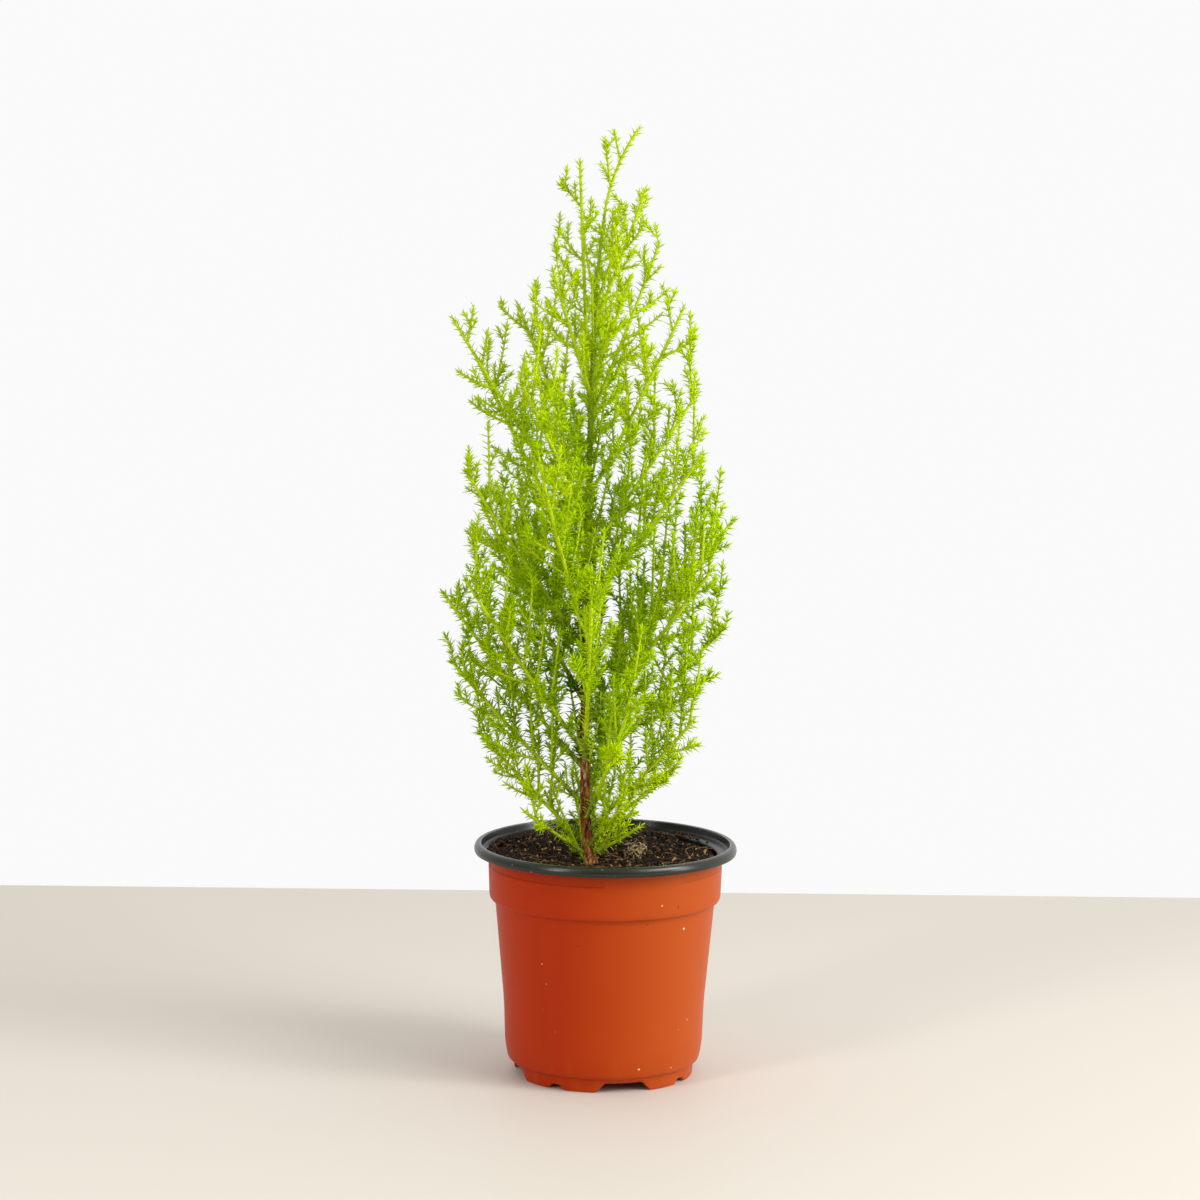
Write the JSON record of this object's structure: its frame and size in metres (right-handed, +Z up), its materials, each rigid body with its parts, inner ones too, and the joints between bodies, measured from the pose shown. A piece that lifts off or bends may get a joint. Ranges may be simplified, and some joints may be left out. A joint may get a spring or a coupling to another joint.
{
  "type": "potted goldcrest lemon cypress",
  "caption": "Young cone-shaped golden-green conifer with feathery twigs, rising from a slim trunk in a round plastic nursery pot filled with dark peat.",
  "frame": {"origin": "centre of the pot's underside, on the pot's axis, at the level that the pot stands on", "axes": "+Z up along the pot's axis, -Y towards the viewer of the picture, +X to that viewer's right"},
  "size_m": [0.1504, 0.1345, 0.4681],
  "materials": {
    "terracotta": "satin moulded plastic, terracotta red",
    "black": "glossy moulded plastic, near black",
    "peat": "moist crumbly peat with brown fibres",
    "bark": "thin reddish-brown bark, flaking",
    "foliage": "soft yellow-green needles, slightly waxy"
  },
  "bodies": {
    "root": {"pot_body": "terracotta", "pot_rim": "black", "soil": "peat", "trunk": "bark", "bough_01": "bark", "bough_02": "bark", "bough_03": "bark", "bough_04": "bark", "bough_05": "bark", "bough_06": "bark", "bough_07": "bark", "bough_08": "bark", "bough_09": "bark", "bough_10": "bark", "bough_11": "bark", "bough_12": "bark", "bough_13": "bark", "bough_14": "bark", "bough_15": "bark", "bough_16": "bark", "bough_17": "bark", "bough_18": "bark", "bough_19": "bark", "bough_20": "bark", "foliage_01": "foliage", "foliage_02": "foliage", "foliage_03": "foliage", "foliage_04": "foliage", "foliage_05": "foliage", "foliage_06": "foliage", "foliage_07": "foliage", "foliage_08": "foliage", "foliage_09": "foliage", "foliage_10": "foliage", "foliage_11": "foliage", "foliage_12": "foliage", "foliage_13": "foliage", "foliage_14": "foliage", "foliage_15": "foliage", "foliage_16": "foliage", "foliage_17": "foliage", "foliage_18": "foliage", "foliage_19": "foliage", "foliage_20": "foliage", "foliage_21": "foliage", "foliage_22": "foliage", "foliage_23": "foliage", "foliage_24": "foliage", "foliage_25": "foliage", "foliage_26": "foliage", "foliage_27": "foliage", "foliage_28": "foliage", "foliage_29": "foliage", "foliage_30": "foliage", "foliage_31": "foliage", "foliage_32": "foliage", "foliage_33": "foliage", "foliage_34": "foliage", "foliage_35": "foliage", "foliage_leader": "foliage"}
  },
  "joints": []
}
